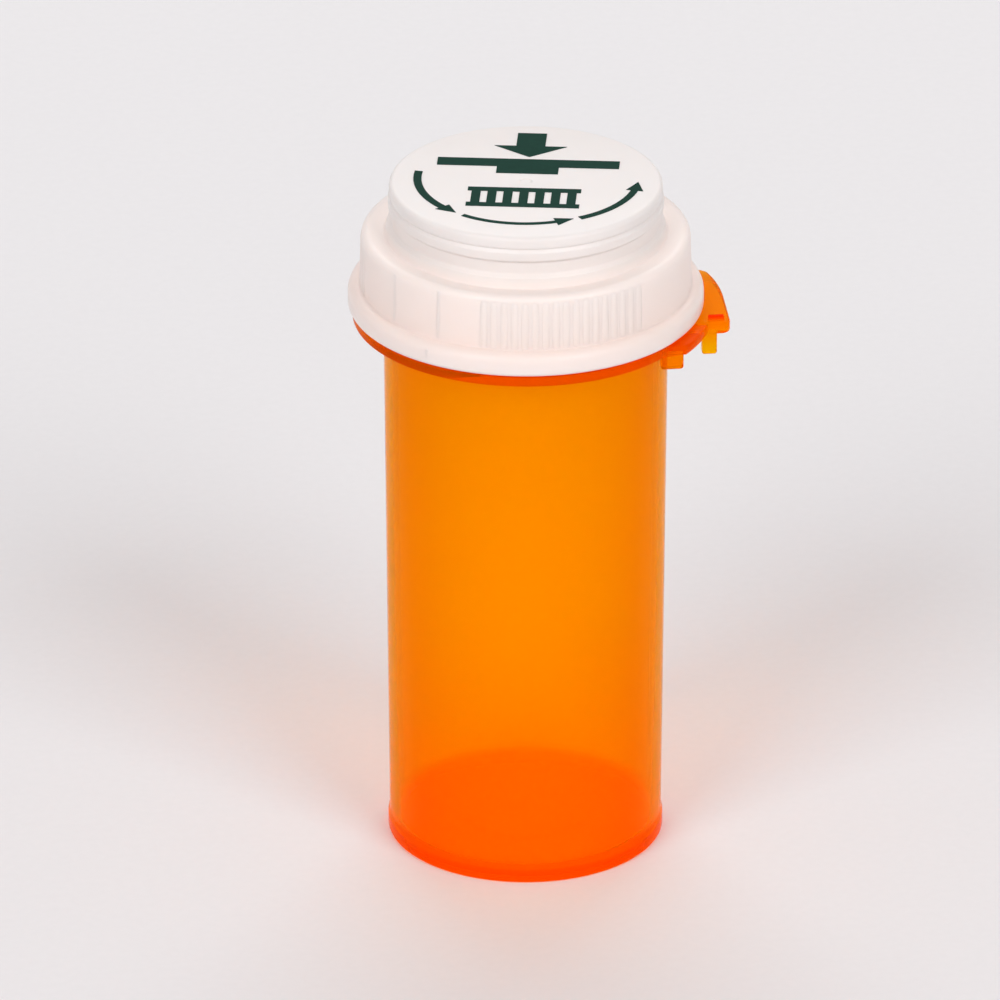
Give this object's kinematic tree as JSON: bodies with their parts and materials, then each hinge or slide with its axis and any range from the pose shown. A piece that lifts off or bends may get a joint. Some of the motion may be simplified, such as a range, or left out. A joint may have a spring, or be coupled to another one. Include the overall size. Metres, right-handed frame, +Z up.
{
  "type": "prescription vial",
  "caption": "Round clear amber pharmacy vial with a press-down locking tab on its collar and a white reversible screw cap with a hollow plug, snap rings and gripping ribs.",
  "frame": {"origin": "centre of the foot, on the surface the vial stands on", "axes": "+Z up the vial's axis, +X towards the middle of the press-down tab"},
  "size_m": [0.0415, 0.0394, 0.0785],
  "materials": {
    "amber_polypropylene": "clear amber moulded polypropylene, glossy",
    "white_polypropylene": "warm white moulded polypropylene, satin gloss",
    "liner_foam": "fine closed-cell polyethylene foam, matt",
    "green_ink": "pad-printed dark green ink, satin"
  },
  "bodies": {
    "vial": {"vial_wall": "amber_polypropylene", "vial_floor": "amber_polypropylene", "vial_neck": "amber_polypropylene", "neck_thread": "amber_polypropylene", "collar_flange": "amber_polypropylene", "wing_lugs": "amber_polypropylene", "tab_hinge_web": "amber_polypropylene"},
    "tab": {"lock_tab": "amber_polypropylene", "lock_tooth": "amber_polypropylene", "tab_lugs": "amber_polypropylene"},
    "liner": {"seal_liner": "liner_foam"},
    "cap": {"cap_skirt": "white_polypropylene", "cap_shoulder": "white_polypropylene", "cap_bead": "white_polypropylene", "cap_grips": "white_polypropylene", "cap_thread": "white_polypropylene", "ratchet_ring": "white_polypropylene", "plug_wall": "white_polypropylene", "plug_disc": "white_polypropylene", "snap_rings": "white_polypropylene", "cap_print": "green_ink"}
  },
  "joints": [
    {"name": "cap_lift", "type": "slide", "parent": "vial", "child": "liner", "axis": [0, 0, 1], "range_m": [0, 0.0121]},
    {"name": "cap_turn", "type": "hinge", "parent": "liner", "child": "cap", "pos_m": [0, 0, 0.064], "axis": [0, 0, 1], "range_deg": [0, 360]},
    {"name": "tab_press", "type": "hinge", "parent": "vial", "child": "tab", "pos_m": [0.01675, 0, 0.063], "axis": [0, 1, 0], "range_deg": [0, 8], "stiffness_Nm_per_rad": 0.4}
  ],
  "couplings": [
    {"joint": "cap_lift", "follows": "cap_turn", "m_per_rad": 0.0019099}
  ]
}
